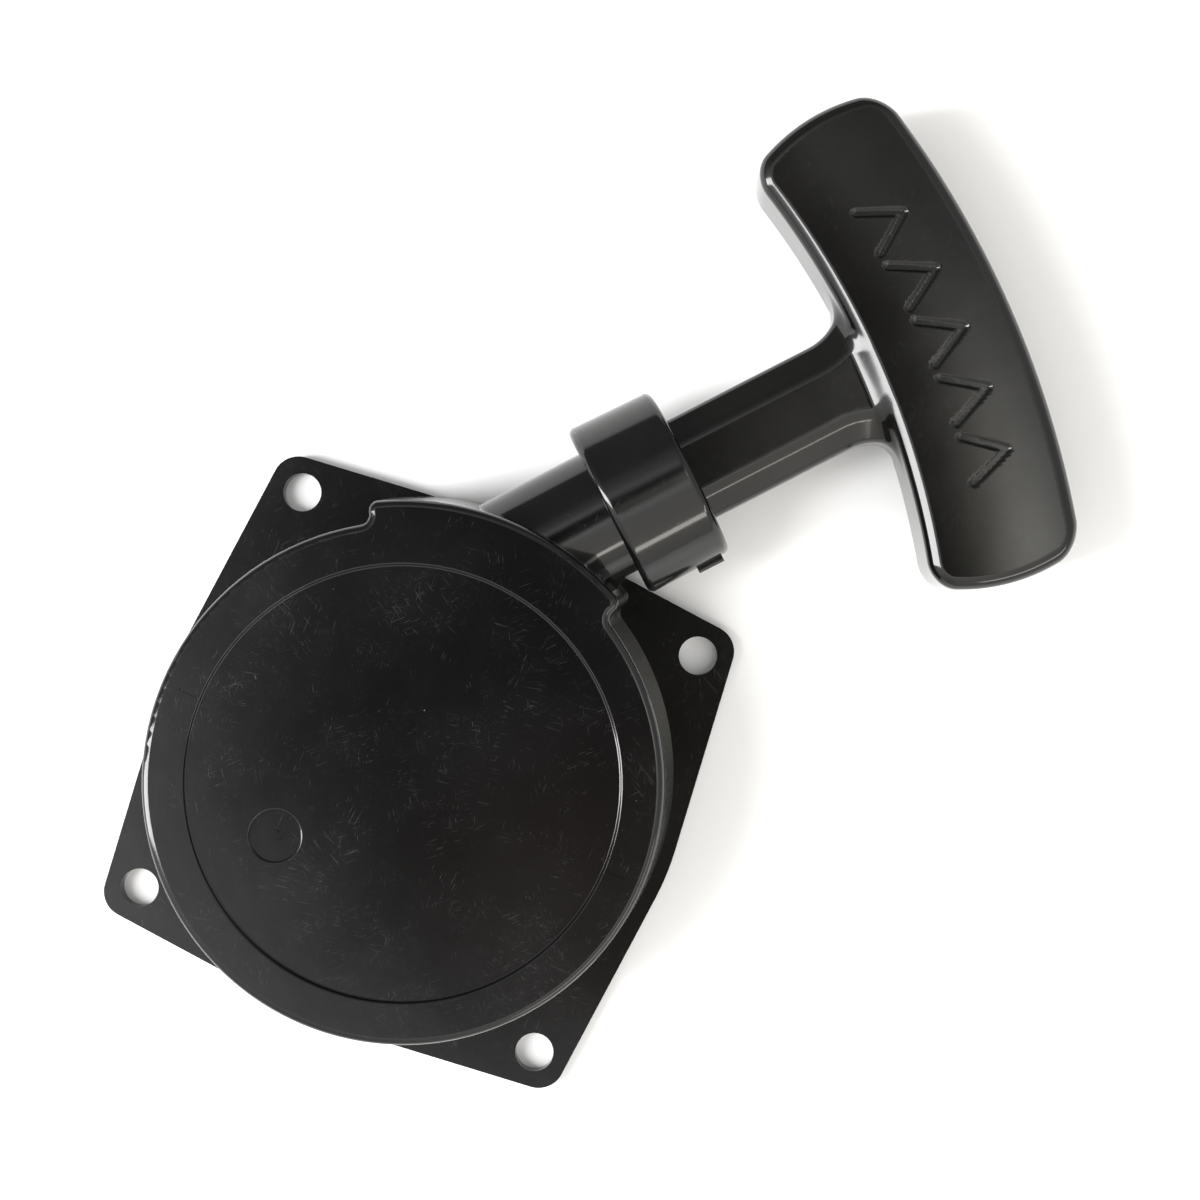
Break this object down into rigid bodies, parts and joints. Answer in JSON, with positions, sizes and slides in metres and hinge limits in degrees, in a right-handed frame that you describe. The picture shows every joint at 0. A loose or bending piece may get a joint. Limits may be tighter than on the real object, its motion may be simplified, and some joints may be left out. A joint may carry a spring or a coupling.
{
  "type": "recoil starter",
  "caption": "Hand-pulled recoil starter: round drum housing on a square flange, rope outlet tube with a docking collar, T-grip, and a spring-loaded reel with swinging ratchets inside.",
  "frame": {"origin": "centre of the bolt circle on the mounting face (the flange's back)", "axes": "+Z out of the engine towards the drum's closed top, +X the direction in which the rope is pulled"},
  "size_m": [0.1824, 0.1251, 0.031],
  "materials": {
    "housing_plastic": "glossy moulded black plastic with fine scratches",
    "grip_plastic": "glossy moulded black plastic, softened by handling",
    "cap_plastic": "fine satin black",
    "reel_nylon": "natural nylon, satin",
    "rope": "braided nylon cord, grey with a dark tracer",
    "spring_steel": "blued spring steel, lightly oiled",
    "eyelet_steel": "polished plated steel",
    "pawl_steel": "sintered steel",
    "pin_steel": "ground steel",
    "zinc_steel": "zinc plated",
    "screw_steel": "zinc plated, flat socket head",
    "brass": "turned brass",
    "bronze": "sintered bronze"
  },
  "bodies": {
    "housing": {"housing": "housing_plastic", "rope_eyelet": "eyelet_steel", "centre_insert": "brass", "recoil_spring": "spring_steel", "rope_run": "rope", "screw_washer": "zinc_steel", "centre_screw": "screw_steel"},
    "rope_end": {"grip_knot": "rope", "grip_knot_washer": "zinc_steel"},
    "grip": {"grip": "grip_plastic", "grip_cap": "cap_plastic"},
    "reel": {"reel": "reel_nylon", "reel_bush": "bronze", "rope_coil": "rope", "reel_knot": "rope", "pawl_pin_1": "pin_steel", "pawl_pin_2": "pin_steel", "pawl_spring_1": "spring_steel", "pawl_spring_2": "spring_steel"},
    "guide": {"pawl_guide": "zinc_steel", "friction_spring": "spring_steel"},
    "pawl_1": {"pawl_1": "pawl_steel"},
    "pawl_2": {"pawl_2": "pawl_steel"}
  },
  "joints": [
    {"name": "handle_pull", "type": "slide", "parent": "housing", "child": "rope_end", "axis": [1, 0, 0], "range_m": [0, 0.65], "stiffness_N_per_m": 25, "springref_m": -0.4, "deforming": ["rope_run"]},
    {"name": "grip_twist", "type": "hinge", "parent": "rope_end", "child": "grip", "pos_m": [0.06, 0.0244, 0.0156], "axis": [1, 0, 0], "continuous": true},
    {"name": "reel_spin", "type": "hinge", "parent": "housing", "child": "reel", "pos_m": [0, 0, 0.0156], "axis": [0, 0, 1], "range_deg": [-1530, 0], "deforming": ["recoil_spring"]},
    {"name": "guide_turn", "type": "hinge", "parent": "reel", "child": "guide", "pos_m": [0, 0, 0.005], "axis": [0, 0, 1], "range_deg": [0, 24], "stiffness_Nm_per_rad": 0.002},
    {"name": "pawl_1_swing", "type": "hinge", "parent": "reel", "child": "pawl_1", "pos_m": [0.012, 0, 0.008], "axis": [0, 0, 1], "range_deg": [0, 36], "deforming": ["pawl_spring_1"]},
    {"name": "pawl_2_swing", "type": "hinge", "parent": "reel", "child": "pawl_2", "pos_m": [-0.012, 0, 0.008], "axis": [0, 0, 1], "range_deg": [0, 36], "deforming": ["pawl_spring_2"]}
  ],
  "couplings": [
    {"joint": "reel_spin", "follows": "handle_pull", "rad_per_m": -40.984},
    {"joint": "pawl_1_swing", "follows": "guide_turn", "ratio": 1.5},
    {"joint": "pawl_2_swing", "follows": "guide_turn", "ratio": 1.5}
  ]
}
